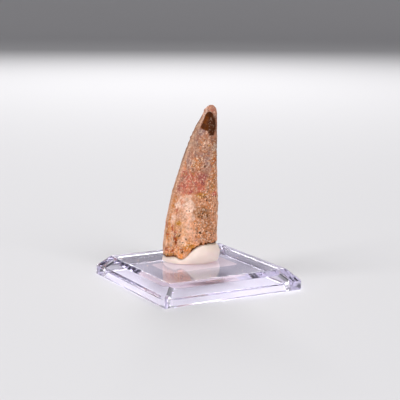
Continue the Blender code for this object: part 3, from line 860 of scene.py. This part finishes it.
def crown_marks(points, angles, over_break, tip, grain):
    """The masks that colour the crown, from 0 to 1 at each point of its smooth form, and the dome and the
    random number of each point's sand grain."""
    x, y, z = np.moveaxis(points, -1, 0)
    near = smooth_step(0.8, -0.8, y + 0.6 * fractal(points, 3.0, 2, 61))
    inside = x - smooth_through([(h, left) for h, left, _ in CROWN_OUTLINE], z)
    behind = smooth_through([(h, right) for h, _, right in CROWN_OUTLINE], z) - x
    marks = {}
    for seed, name in enumerate(NEAR_STAINS):
        marks[name] = near * stain(points, NEAR_STAINS[name], 100 + 10 * seed)
        marks[name] += (1 - near) * stain(points, FAR_STAINS[name], 200 + 10 * seed)
    # The dark stains are full even where they are worn, and the pale ones come and go
    for name in ("lilac", "wine", "rust"):
        marks[name] = 1.35 * marks[name]
    for name in ("cream", "rose"):
        marks[name] = marks[name] * (1.1 + 0.6 * fractal(points, 0.8, 2, 17)).clip(0, 1.4)

    # Chip: inside its outline on the near face, with a small wander of its edge
    room = np.minimum(x - smooth_through(CHIP_LEFT, z), smooth_through(CHIP_RIGHT, z) - x)
    room = np.minimum(room, np.minimum(z - CHIP_SPAN[0], CHIP_SPAN[1] - z))
    room = room + 0.16 * fractal(points, 0.8, 2, 31)
    marks["chip"] = smooth_step(-0.05, 0.22, room) * (y < 0)
    whole = 1 - smooth_step(-0.7, 0.0, room) * (y < 0)

    # A groove beside the curved edge holds orange silt low down. Above it a pale line beside that edge, and
    # low down a pale rim along the straight edge, are painted highlights
    wander = inside - 0.25 * fractal(points, 4.0, 3, 71)
    beside = np.exp(-(((wander - 1.3) / 0.45) ** 2)) * (np.abs(y) > 1)
    silt = (0.7 + 0.6 * fractal(points, 1.5, 2, 72)).clip(0, 1)
    marks["groove"] = 1.4 * beside * silt * smooth_step(14, 24, z) * smooth_step(38, 32, z)
    painted_highlight_line = np.exp(-(((wander - 0.95) / 0.4) ** 2)) * smooth_step(38, 50, z)
    painted_highlight_rim = 0.6 * smooth_step(0.55, 0.25, behind) * smooth_step(50, 40, z)
    marks["cream"] = np.maximum(marks["cream"], 0.85 * silt * np.maximum(painted_highlight_line, painted_highlight_rim))
    rusty_rim = np.exp(-(((behind - 1.2) / 0.4) ** 2)) * smooth_step(36, 42, z) * smooth_step(58, 54, z)
    marks["ochre"] = np.maximum(marks["ochre"], 0.6 * rusty_rim * silt)
    marks["strip"] = 0.85 * smooth_step(1.4, 1.0, inside) * smooth_step(tip - 2, tip - 10, z)

    # Sandy crust: thick where the sand lies, thin and patchy elsewhere
    cover = marks["crust"] * 1.2 + 0.3 * smooth_step(0.0, 0.8, fractal(points, 2.6, 3, 41))
    crust = np.clip(cover, 0, 1) * whole * smooth_step(tip - 2, tip - 9, z)
    marks["crust"] = crust
    # Specks of sand lie everywhere, most on the crust and fewest on the rose and cream enamel
    marks["sandy"] = (0.5 + 0.5 * crust - 0.2 * marks["rose"] - 0.15 * marks["cream"]).clip(0.1, 1)
    nearest, second, own = grains(points, grain, 51)
    dome = (1.1 - 1.5 * nearest).clip(-0.4, 1.1)
    # Painted shade in the creases between sand grains
    marks["gap"] = 0.6 * crust * smooth_step(0.22, 0.04, second - nearest) * smooth_step(0.3, 0.7, own)
    pale = smooth_step(0.82, 0.88, own) * smooth_step(0.66, 0.4, nearest)
    marks["light"] = 0.35 * pale * np.clip(crust * 1.2 + 0.1, 0, 1) * whole
    toward_right = smooth_step(3.6, 5.4, x + 0.6 * fractal(points, 1.6, 2, 33))
    specks = smooth_step(0.66, 0.76, own) * smooth_step(0.6, 0.35, nearest)
    marks["chip_dark"] = 0.6 * toward_right * marks["chip"]
    marks["chip_specks"] = 0.14 * specks * toward_right * marks["chip"]

    # Tone and painted shade: tone grain by grain on the crust, in fine streaks along the bare enamel
    along = np.stack([8 * np.cos(angles), 8 * np.sin(angles), 0.14 * z], axis=-1)
    streak = fractal(along, 0.8, 2, 3)
    tone = 0.5 + 0.5 * crust * (own - 0.5) + 0.12 * (1 - crust) * streak
    tone = tone + 0.08 * fractal(points, 2.4, 2, 13) + 0.13 * fractal(points, 0.6, 2, 19)
    # Painted shade: darker below the chip and along both edges of the upper half; painted light: paler in the
    # lower half
    below_tip = smooth_step(tip - 2, tip - 5, z)
    tone = tone - 0.13 * smooth_step(46, 53, z) * smooth_step(68, 65, z)
    tone = tone - 0.15 * smooth_step(0.6, 0.2, inside) * smooth_step(38, 50, z)
    tone = tone - 0.12 * smooth_step(0.9, 0.2, behind) * smooth_step(40, 46, z) * below_tip
    tone = tone + 0.05 * smooth_step(42, 36, z)
    marks["tone"] = tone.clip(0, 1)
    marks["peach"] = smooth_step(42, 32, z + 3 * fractal(points, 4.0, 2, 15))

    # Pits: those of the list, and the middles of a few coarse cells
    nearest, _, coarse = grains(points, 1.2, 81)
    nearest = nearest + 0.16 * fractal(points, 0.5, 2, 84)
    pits = smooth_step(0.3, 0.2, nearest) * (coarse > 0.84) * np.clip(0.25 + crust, 0, 1) * whole
    marks["pits"] = np.maximum(marks["pits"], pits * smooth_step(tip - 3, tip - 12, z))

    # Bare core, set back under the enamel's broken lower edge; its dark band is partly painted shade under
    # that edge, most of all near the curved edge of the near face
    rim = 0.55 + 0.75 * fractal(points, 0.9, 3, 91)
    share = np.where(y < 0, smooth_step(-4.5, -2.0, x) + 0.85 * smooth_step(-7.2, -8.2, x), 0.7)
    marks["core"] = smooth_step(rim + 0.12, rim - 0.12, over_break) * share
    return marks, dome, own, streak


def crown_relief(points, angles, marks, dome, own, streak, tip, grain_rise):
    """How far each point stands out of the smooth crown in millimetres: flutes and fine streaks along it,
    low lumps, sand grains, pits, cutting edges with a groove beside them, and the sunk chip and core."""
    z = points[..., 2]
    fade = smooth_step(tip, tip - 8, z)
    crust = marks["crust"]
    relief = 0.08 * np.cos(12 * angles) * fade + 0.09 * streak * fade * (1 - 0.6 * crust)
    relief = relief + 0.14 * fractal(points, 3.4, 2, 1) + 0.17 * crust * fractal(points, 1.5, 3, 2)
    relief = relief + grain_rise * (0.12 + crust) * (0.45 + 0.9 * own) * dome * fade
    relief = relief - 0.32 * marks["pits"] - 0.16 * marks["groove"]
    for cutting_edge in CUTTING_EDGES:
        away = np.abs((angles - cutting_edge + math.pi) % (2 * math.pi) - math.pi)
        ridge = 0.34 + 0.12 * fractal(points, 0.9, 2, 7)
        relief = relief + ridge * np.exp(-((away / 0.06) ** 2)) - 0.2 * np.exp(-(((away - 0.27) / 0.13) ** 2))
    at_edge = np.exp(-(((angles - math.radians(192)) / 0.42) ** 2))
    for height, rise, half in EDGE_BUMPS:
        relief = relief + rise * at_edge * np.exp(-(((z - height) / half) ** 2))
    relief = relief - marks["chip"] * (CHIP_DEPTH + 0.12 * fractal(points, 1.6, 2, 8))
    return relief - 0.3 * marks["core"]


# The crown's grid: points round it, rings up its sides and rings across its broken end
CROWN_COLUMNS = 300
CROWN_LAYERS = 308
CROWN_UNDER = 16


class FOSSIL_OT_tooth(bpy.types.Operator):
    """Build the fossil crown"""

    bl_idname = "fossil.tooth"
    bl_label = "Tooth"

    def execute(self, context):
        s = context.scene.fossil_tooth
        tip = s.tip / MM
        angles = np.arange(CROWN_COLUMNS) * 2 * math.pi / CROWN_COLUMNS
        outline = crown_section(angles, np.full(CROWN_COLUMNS, BREAK_LEVEL), tip)[0]
        ragged = 0.18 * fractal(outline, 1.5, 2, 21) + 0.3 * fractal(outline, 0.7, 2, 23)
        foot = break_height(outline) + ragged
        # Rings lie closer towards the tip, and level out from the ragged foot on the way up
        up = (1 - (1 - np.arange(CROWN_LAYERS) / CROWN_LAYERS) ** 1.12)[:, None]
        low = foot.mean()
        heights = low + (tip - low) * up + (foot - low) * (1 - up) ** 3
        turned = np.broadcast_to(angles, heights.shape)
        smooth, outward = crown_section(turned, heights, tip)
        marks, dome, own, streak = crown_marks(smooth, turned, heights - foot, tip, s.grain / MM)
        relief = crown_relief(smooth, turned, marks, dome, own, streak, tip, s.grain_rise / MM)
        sides = smooth + outward * relief[..., None]
        bottoms = []
        for share in np.linspace(0.06, 0.985, CROWN_UNDER):
            ring = drawn_in(sides[0], share)
            sunk = 0.16 * fractal(ring, 1.2, 3, 5) + 0.1
            at_rim = share**8
            ring[:, 2] = break_height(ring) + (foot - break_height(outline)) * at_rim + sunk * (1 - at_rim)
            bottoms.append(ring)
        rings = np.concatenate([bottoms, sides])
        low_point = bottoms[0].mean(axis=0)
        tip_point = crown_section(np.zeros(1), np.full(1, tip), tip)[0][0]
        ends = np.array([low_point, tip_point])
        everything = turn_on_base(np.concatenate([rings.reshape(-1, 3), ends]), s.axis_y / MM)
        mesh = skin_mesh("tooth", everything[:-2].reshape(rings.shape), everything[-2], everything[-1])
        for name, values in marks.items():
            below = np.full((CROWN_UNDER, CROWN_COLUMNS), 1.0 if name == "core" else 0.0)
            store(mesh, name, np.concatenate([below, values]))
        finish_piece(mesh, "fossil_crown", "tooth", [fossil_enamel(s)])
        return {"FINISHED"}


# The floor lies a hair under the base, so that the two faces don't coincide
FLOOR_GAP = 0.00002
# The cove's grid: points round it and up its bend, and how far the fan in its middle reaches in metres
COVE_COLUMNS = 128
COVE_BEND_POINTS = 24
COVE_MIDDLE = 0.3


def studio_cove(radius, height):
    """A flat round floor that curves up to a wall: its profile is a line, a quarter circle and a line,
    carried round the upright axis."""
    bend = height * 0.6
    quarter = np.linspace(0, math.pi / 2, COVE_BEND_POINTS)
    reach = np.concatenate([[COVE_MIDDLE], radius + bend * np.sin(quarter), [radius + bend]])
    level = np.concatenate([[0.0], bend - bend * np.cos(quarter), [height]]) - FLOOR_GAP
    rows, count = len(reach), COVE_COLUMNS
    angles = np.arange(count) * 2 * math.pi / count
    across, deep = reach[:, None] * np.cos(angles), reach[:, None] * np.sin(angles)
    points = np.stack([across, deep, level[:, None] + 0 * angles], axis=-1)
    everything = np.concatenate([points.reshape(-1, 3), [[0, 0, -FLOOR_GAP]]])
    # Seen from inside, so the quads between the rings are turned round
    quads = ring_quads(rows, count)[:, [1, 0, 3, 2]]
    here = np.arange(count)
    middle = np.stack([here, (here + 1) % count, np.full(count, rows * count)], axis=1)
    mesh = new_mesh("studio_cove", everything, quads.tolist() + middle.tolist())
    mesh.shade_smooth()
    return mesh


COVE_RADIUS = 2.0
COVE_HEIGHT = 1.6
# Heights in metres between which the backdrop turns from the floor's colour to the wall's
WALL_SHADE_FROM = 0.1
WALL_SHADE_TO = 0.45

# The photograph's viewpoint in the frame
CAMERA_PLACE = (-0.22172, -0.39755, 0.11714)
CAMERA_TURN = math.radians(-29.307)
CAMERA_TILT = math.radians(90 - 10.476)
CAMERA_ROLL = math.radians(0.424)
CAMERA_LENS = 106.08
SENSOR_WIDTH = 36.0

AIM = (0, 0, 0.035)
# Each soft box: its width and height, azimuth and elevation from the camera, and distance. The two lights
# behind stand where the base's rounded top edges mirror them, one for each front side.
LIGHTS = {
    "key": ((0.7, 0.9), -62, 34, 1.4),
    "fill": ((0.7, 0.9), 40, 35, 1.5),
    "rim": ((0.7, 0.3), -176, 29, 1.4),
    "rim_right": ((0.35, 0.35), 163, 48, 1.4),
}
SURROUNDINGS = {"Color": (0.9, 0.9, 0.92, 1), "Strength": 0.34}
# Clear plastic mirrors light inside itself many times before it lets it out
BOUNCES = {"max_bounces": 32, "glossy_bounces": 24, "transmission_bounces": 24}


def soft_light(name, power, size, azimuth, elevation, distance):
    """A soft box of that width and height, aimed at the tooth. Azimuth counts from the camera, to its
    right."""
    target = Vector(AIM)
    turn = CAMERA_TURN + math.radians(azimuth) - math.pi / 2
    lift = math.radians(elevation)
    away = Vector((math.cos(turn) * math.cos(lift), math.sin(turn) * math.cos(lift), math.sin(lift)))
    lamp = bpy.data.lights.new(name, "AREA")
    lamp.shape = "RECTANGLE"
    lamp.size, lamp.size_y = size
    lamp.energy = power
    light = bpy.data.objects.new(name, lamp)
    light.location = target + away * distance
    light.rotation_euler = away.to_track_quat("Z", "Y").to_euler()
    bpy.context.scene.collection.objects.link(light)


class FOSSIL_OT_stage(bpy.types.Operator):
    """Build the pale floor, the soft lights and the camera"""

    bl_idname = "fossil.stage"
    bl_label = "Stage"

    def execute(self, context):
        s = context.scene.fossil_stage
        floor = bpy.data.objects.new("floor", studio_cove(COVE_RADIUS, COVE_HEIGHT))
        context.scene.collection.objects.link(floor)
        material, tree = new_material("painted floor, matt")
        place = add(tree, "ShaderNodeTexCoord").outputs["Object"]
        axes = add(tree, "ShaderNodeSeparateXYZ", {0: place})
        shading = {"Value": axes.outputs["Z"], "From Min": WALL_SHADE_FROM, "From Max": WALL_SHADE_TO}
        upward = add(tree, "ShaderNodeMapRange", shading)
        either = {"Factor": upward, "A": (*s.floor, 1), "B": (*s.wall, 1)}
        tint = add(tree, "ShaderNodeMix", either, data_type="RGBA")
        shader = add(tree, "ShaderNodeBsdfPrincipled", {"Base Color": tint, "Roughness": 0.9})
        add(tree, "ShaderNodeOutputMaterial", {"Surface": shader})
        floor.data.materials.append(material)
        for name, place in LIGHTS.items():
            soft_light(name, getattr(s, name), *place)
        world = bpy.data.worlds.new("studio")
        world.use_nodes = True
        for socket, value in SURROUNDINGS.items():
            world.node_tree.nodes["Background"].inputs[socket].default_value = value
        context.scene.world = world
        context.scene.view_settings.view_transform = "Standard"
        for kind, most in BOUNCES.items():
            setattr(context.scene.cycles, kind, most)
        lens = bpy.data.cameras.new("camera")
        lens.lens = CAMERA_LENS
        lens.sensor_width = SENSOR_WIDTH
        lens.clip_start = 0.01
        camera = bpy.data.objects.new("camera", lens)
        camera.matrix_world = (
            Matrix.Translation(CAMERA_PLACE)
            @ Matrix.Rotation(CAMERA_TURN, 4, "Z")
            @ Matrix.Rotation(CAMERA_TILT, 4, "X")
            @ Matrix.Rotation(CAMERA_ROLL, 4, "Z")
        )
        context.scene.collection.objects.link(camera)
        context.scene.camera = camera
        return {"FINISHED"}


class FOSSIL_PT_sidebar(bpy.types.Panel):
    """Lists the pieces and their settings"""

    bl_idname = "FOSSIL_PT_sidebar"
    bl_label = "Fossil tooth"
    bl_space_type = "VIEW_3D"
    bl_region_type = "UI"
    bl_category = "Fossil"

    def draw(self, context):
        for operator in OPERATORS:
            self.layout.operator(operator.bl_idname)
        for name, group in SETTINGS.items():
            box = self.layout.box()
            for setting in group.__annotations__:
                box.prop(getattr(context.scene, name), setting)


OPERATORS = (
    *(FOSSIL_OT_stage, FOSSIL_OT_base, FOSSIL_OT_label),
    *(FOSSIL_OT_putty, FOSSIL_OT_grains, FOSSIL_OT_tooth),
)


def register():
    for item in (*SETTINGS.values(), *OPERATORS, FOSSIL_PT_sidebar):
        bpy.utils.register_class(item)
    for name, group in SETTINGS.items():
        setattr(bpy.types.Scene, name, PointerProperty(type=group))


def unregister():
    for name in SETTINGS:
        delattr(bpy.types.Scene, name)
    for item in reversed((*SETTINGS.values(), *OPERATORS, FOSSIL_PT_sidebar)):
        bpy.utils.unregister_class(item)


def main():
    register()
    bpy.ops.fossil.stage()
    bpy.ops.fossil.base()
    bpy.ops.fossil.label()
    bpy.ops.fossil.putty()
    bpy.ops.fossil.grains()
    bpy.ops.fossil.tooth()


if __name__ == "__main__":
    main()
